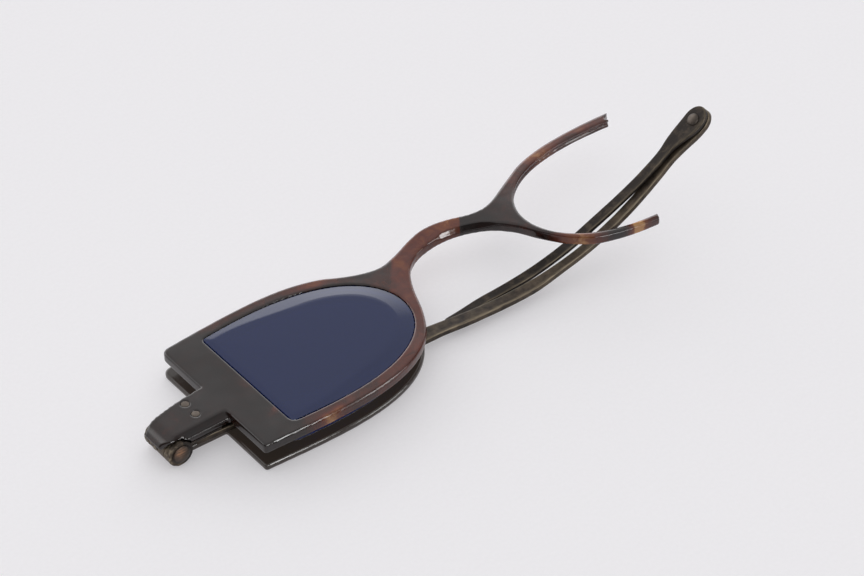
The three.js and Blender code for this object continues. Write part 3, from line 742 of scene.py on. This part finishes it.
def strip(stations, half, thick, edge):
    """Flat strip: outline from half widths at stations, edges rounded by a quarter circle of radius edge. It
    also gives each point its share of wear and painted highlight, most of all on the rounded edges."""
    outline = np.concatenate([np.stack([stations, -half], 1), np.stack([stations, half], 1)[::-1]])
    loop = even_loop(outline, OUTLINE_POINTS, OUTLINE_SOFT)
    spine = np.stack([np.clip(loop[:, 0], stations[0] + 0.6, stations[-1] - 0.9), 0 * loop[:, 1]], 1)
    turn = np.radians(np.linspace(90, 0, 6))
    quarter = [(edge * (1 - np.cos(t)), 0.0, thick / 2 - edge * (1 - np.sin(t))) for t in turn]
    face = [(edge, s, thick / 2) for s in (1.0, 0.75, 0.5, 0.25)]
    upper = face + quarter
    lower = [(i, s, -h) for i, s, h in upper[::-1]]
    flat, quads = flat_body(loop, spine, upper + lower)
    worn = np.repeat(np.concatenate([WEAR_AND_HIGHLIGHT_ROWS, WEAR_AND_HIGHLIGHT_ROWS[::-1]]), len(loop))
    return flat, quads, worn


# %% [markdown]
# The metal has gone brown and grey with age. A dark patina lies in clouds over it, fine scratches run along
# the bars, and the edges are rubbed bright, with a painted highlight added along the near edges of the bars.
# The finish reads the flat shape of each bar, kept as an attribute, so that the scratches bend with it.

# %% Old metal finish
def old_metal(name, dark, light, bright, gloss):
    """Patina clouds between two tones, bright rubbed edges that also carry painted highlight, pits as bump,
    long scratches in the gloss.
    """
    material, tree, shader = new_finish(name)
    place = carried(tree, "flat_place", "Vector")
    clouds = noise(tree, place, 0.55, 6.0, Roughness=0.65)
    base = ramp(tree, maths(tree, "ADD", clouds, carried(tree, "tone")), [(0.32, dark), (0.68, light)])
    stretch = node(tree, "Mapping", {"Vector": place, "Scale": (0.35, 7.0, 7.0)}).outputs["Vector"]
    lines = noise(tree, stretch, 1.0, 4.0)
    rub = maths(tree, "MULTIPLY", carried(tree, "worn"), between(tree, lines, 0.35, 0.65, 0.2, 1.0))
    mix = {"Factor": rub, 6: base, 7: (*bright, 1)}
    colour = node(tree, "Mix", mix, data_type="RGBA").outputs[2]
    link(tree, shader, Base_Color=colour)
    link(tree, shader, Roughness=between(tree, lines, 0.3, 0.7, gloss, gloss + 0.2))
    pits = noise(tree, place, 3.2, 4.0)
    link(tree, shader, Normal=bumped(tree, pits, 0.25, 0.05 * MM))
    shader.inputs["Metallic"].default_value = 0.65
    return material


bronze = old_metal("brown_metal", (0.019, 0.014, 0.0115), (0.105, 0.078, 0.053), (0.3, 0.245, 0.17), 0.38)

# %% [markdown]
# The bar's root is slim where it leaves its knuckle, then it widens, narrows again where it leaves
# the eyes, and ends in a round eye for the turn pin. Under its middle it is filed away on one side.
# Its knuckle is a short tube about the hinge line, part of the same piece.

# %% Shape of the temple bar
BAR_SLIM = 0.85
bar_end = BAR_LENGTH + END_TIP * np.sin(np.radians(np.linspace(-60, 89, 60)))
stations = np.unique(np.round(np.concatenate([np.linspace(1.1, 104, 500), bar_end]), 4))
root = 0.5 + 0.9 * smooth((stations - 2.6) / 1.2)
narrow = 0.55 * smooth((stations - 44) / 14)
half = np.where(stations > 74, end_half(BAR_LENGTH - stations, BAR_SLIM), root - narrow)
flat, quads, worn = strip(stations, half, BAR_THICK, edge=0.22)
along = flat[:, 0]
belly = 0.27 * smooth((along - 48) / 8) * (1 - smooth((along - 66) / 9))
width = np.interp(along, stations, half)
flat[:, 1] -= belly * (1 - flat[:, 1] / width)
points = on_bar(flat)
normals = outward(points, quads)
points = points + normals * (0.015 * cloud(points, 2.5, 0.2) + 0.01 * cloud(points, 0.9))[:, None]

# %% Knuckle and temple bar
BARREL_RADIUS = 2.2
PIN_HOLE = 0.78


def knuckle(y_from, y_to, cut=0.12):
    """A short tube about the hinge line: a rectangle with cut corners turned round it."""
    profile = np.array([
        (PIN_HOLE, y_from), (BARREL_RADIUS - cut, y_from), (BARREL_RADIUS, y_from + cut),
        (BARREL_RADIUS, y_to - cut), (BARREL_RADIUS - cut, y_to), (PIN_HOLE, y_to),
    ])
    angle = np.linspace(0, 2 * np.pi, 72, endpoint=False)
    r = profile[:, 0][:, None]
    x = HINGE_X + r * np.cos(angle)
    z = HINGE_Z + r * np.sin(angle)
    y = np.broadcast_to(profile[:, 1][:, None], x.shape)
    points = np.stack([x, y, z], 2).reshape(-1, 3)
    return points, grid_quads(len(profile), len(angle), wrap_rows=True)


tube, tube_quads = knuckle(-3.15, -1.45)
# Painted highlight: the rubbed edges are made brighter on the near side, where the light catches them, and
# only on the upper half.
rub_and_highlight = worn * np.where(flat[:, 1] < 0, 0.9, 0.25) * (flat[:, 2] > -0.3)
extras = {"flat_place": flat, "worn": rub_and_highlight, "tone": -0.06 + 0.1 * smooth((flat[:, 0] - 62) / 8)}
tube_extras = {"flat_place": tube, "worn": np.full(len(tube), 0.25), "tone": np.zeros(len(tube))}
shells = [(points, quads, extras), (tube, tube_quads, tube_extras)]
make_piece("bar_temple", shells, "temple", ["temple_bar"], bronze)

# %% [markdown]
# The extension lies folded back over the bar: it starts on the turn pin, drifts to the brow
# side of the bar, sinks past it, and its tip comes back under the bar's edge.

# %% Extension
EXT_LENGTH = 55.0
EXT_HALF = 0.93
EXT_THICK = 0.8
EXT_GAP = 0.3
EXT_SINK = 2.4
EXT_OVER = BAR_THICK / 2 + EXT_GAP + EXT_THICK / 2
tip = EXT_LENGTH - EXT_HALF + EXT_HALF * np.sin(np.radians(np.linspace(0, 89, 14)))
pin_end = -END_TIP * np.sin(np.radians(np.linspace(89, 0, 40)))
middle = np.linspace(0, EXT_LENGTH - EXT_HALF, 320)
back = np.unique(np.round(np.concatenate([pin_end, middle, tip]), 4))
past = back - (EXT_LENGTH - EXT_HALF)
round_tip = np.sqrt(np.clip(EXT_HALF ** 2 - past ** 2, 1e-4, None))
half = np.where(past > 0, round_tip, end_half(back, EXT_HALF))
flat, quads, worn = strip(back, half, EXT_THICK, edge=0.2)
r = flat[:, 0]
beside = 0.8 * smooth(r / 6) + 1.5 * smooth((r - 6) / 20)
aside = beside - 0.75 * smooth((r - EXT_LENGTH + 9) / 9)
over = EXT_OVER - EXT_SINK * (np.clip(r, 0, None) / EXT_LENGTH) ** 2
points = on_bar(np.stack([BAR_LENGTH - r, flat[:, 1] + aside, flat[:, 2] + over], 1))
normals = outward(points, quads)
normals = normals * np.sign(np.sum(normals[:, 2] * flat[:, 2]))
points = points + normals * (0.012 * cloud(points, 2.5, 0.7) + 0.008 * cloud(points, 0.9))[:, None]
# Painted highlight: the near edge of the top face is made brighter, where the light catches it.
rub_and_highlight = worn * np.where(flat[:, 1] < 0, 0.6, 0.1) * (flat[:, 2] > 0)
extras = {"flat_place": flat + 40, "worn": rub_and_highlight, "tone": np.full(len(flat), -0.18)}
make_piece("bar_extension", [(points, quads, extras)], "extension",
           ["temple_extension"], bronze)

# %% [markdown]
# The metal leaves of the hinge are seen edge on. Their knuckles are pushed out to true cylinders,
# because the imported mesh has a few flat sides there. The outer side of the barrel is pitted and
# flecked with bare metal.

# %% Hinge leaves
def leaf(name, node_name, body):
    """Even skin; points near the barrel go to its true radius; noise pits the surface."""
    points, quads = even_skin(node_name, square=0.1, passes=3)
    arm = points[:, [0, 2]] - (HINGE_X, HINGE_Z)
    radius = np.linalg.norm(arm, axis=1)
    near = smooth((radius - BARREL_RADIUS + 0.1) / 0.05) * smooth((BARREL_RADIUS + 0.06 - radius) / 0.04)
    points[:, [0, 2]] += arm * (near * (BARREL_RADIUS / np.maximum(radius, 1e-6) - 1))[:, None]
    normals = outward(points, quads)
    exposed = smooth((radius - BARREL_RADIUS + 0.5) / 0.3) * (arm[:, 0] < 0)
    pitted = 0.02 + 0.03 * exposed
    points = points + normals * (0.02 * cloud(points, 0.8) + pitted * cloud(points, 0.35))[:, None]
    flecks = exposed * np.clip(0.3 + 1.2 * cloud(points, 0.4), 0, 1)
    extras = {"flat_place": points, "worn": flecks, "tone": -0.22 + 0.2 * (arm[:, 0] < 0.5)}
    make_piece(name, [(points, quads, extras)], body, [node_name], bronze)


leaf("leaf_front", "front_hinge_leaf", "front")
leaf("leaf_side", "side_hinge_leaf", "side")

# %% [markdown]
# Pins and rivets are turned shapes that were hammered over, so their heads are a little uneven.
# The hinge pin's head has kept a copper colour, and a painted highlight lies high on it, towards the left. A
# rivet's head is rubbed almost level with the tab.

# %% Turned shapes
def turned(profile, place, axis, segments=64):
    """Turns (radius, height) pairs about an axis through a place: radius times the cosine of an angle to
    one side, plus radius times its sine to the other."""
    along = Vector(axis).normalized()
    side = np.array(along.orthogonal().normalized())
    along = np.array(along)
    other = np.cross(along, side)
    angle = np.linspace(0, 2 * np.pi, segments, endpoint=False)[None, :, None]
    r, h = np.array(profile).T[:, :, None, None]
    points = place + h * along + r * (np.cos(angle) * side + np.sin(angle) * other)
    points = points.reshape(-1, 3)
    return points, grid_quads(len(profile), segments)


def dome(radius, height, rows=8):
    """Upper half of an ellipse from its rim to its top, as radius and height pairs."""
    turn = np.radians(np.linspace(0, 90, rows))
    return np.stack([radius * np.cos(turn), height * np.sin(turn)], 1)


def headed_pin(names, body, finish, place, axis, span, shank, heads, grime=0.4, highlight_spot=None):
    """A shank over a span with a dome of (radius, height) at each end, hammered a little uneven. Grime lies
    in a ring round each head. Given a spot, the pin carries a painted highlight there; without one, rubbed
    metal shows in flecks."""
    name, node_name = names
    low, high = span
    head_low, head_high = heads
    top = dome(*head_high) + (0, high)
    base = dome(*head_low)[::-1] * (1, -1) + (0, low)
    profile = np.concatenate([base, [(shank, low), (shank, high)], top])
    points, quads = turned(profile, np.array(place), axis)
    away = np.array(axis) / np.linalg.norm(axis)
    level = (points - place) @ away
    ends = smooth((np.abs(level - (low + high) / 2) - (high - low) / 2) / 0.1)
    points = points + away * (ends * 0.03 * cloud(points, 0.5))[:, None]
    worn = 0.3 + 0.3 * cloud(points, 0.6) if highlight_spot is None else patch(points[:, 0], points[:, 2], *highlight_spot)
    rim = np.where(level < (low + high) / 2, head_low[0], head_high[0])
    ring = np.exp(-((np.linalg.norm(np.cross(points - place, away), axis=1) - rim) / 0.2) ** 2)
    extras = {"flat_place": points, "worn": worn * (1 - ring * grime), "tone": 0.05 - grime * ring}
    make_piece(name, [(points, quads, extras)], body, [node_name], finish)


# %% Hinge pin
copper = old_metal("dull_copper", (0.02, 0.016, 0.014), (0.075, 0.06, 0.05), (0.42, 0.22, 0.12), 0.4)
steel = old_metal("worn_steel", (0.045, 0.036, 0.03), (0.125, 0.1, 0.082), (0.29, 0.24, 0.195), 0.4)
# Painted highlight: a bright copper spot high on the pin, towards its left side.
HINGE_HIGHLIGHT = ((HINGE_X - 0.3, HINGE_Z + 0.6), (0.85, 0.85))
headed_pin(("pin_hinge", "hinge_pin"), "front", copper, (HINGE_X, 0, HINGE_Z), (0, 1, 0),
           span=(-4.78, 2.25), shank=0.7, heads=((1.62, 0.36), (1.05, 0.3)), highlight_spot=HINGE_HIGHLIGHT)

# %% Turn pin
bar_eye, above_eye = on_bar(np.array([[BAR_LENGTH, 0, 0.0], [BAR_LENGTH, 0, 1.0]]))
turn_low, turn_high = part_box("turn_pin")
turn_middle = np.array(turn_low + turn_high) / 2 / MM
print("turn pin middle", np.round(turn_middle, 2), "bar eye", np.round(bar_eye, 2))
headed_pin(("pin_turn", "turn_pin"), "temple", steel, bar_eye, above_eye - bar_eye,
           span=(-0.63, 1.73), shank=0.75, heads=((1.05, 0.35), (1.05, 0.45)))

# %% Rivets
RIVETS_OUT = 4.05
RIVETS_APART = 1.4
RIVET_SHANK = 0.65
for word, y in (("upper", RIVETS_APART), ("lower", -RIVETS_APART)):
    place = (FLAT_EDGE - RIVETS_OUT, y, 0)
    names = (f"rivet_front_{word}", f"front_rivet_{word}")
    headed_pin(names, "front", steel, place, (0, 0, 1), span=(3.2, FRONT_TOP - 0.05),
               shank=RIVET_SHANK, heads=((0.9, 0.17), (0.65, 0.05)), grime=0.05)
    names = (f"rivet_side_{word}", f"side_rivet_{word}")
    headed_pin(names, "side", steel, place, (0, 0, 1), span=(0.12, 1.5),
               shank=RIVET_SHANK, heads=((0.9, 0.12), (0.65, 0.04)))
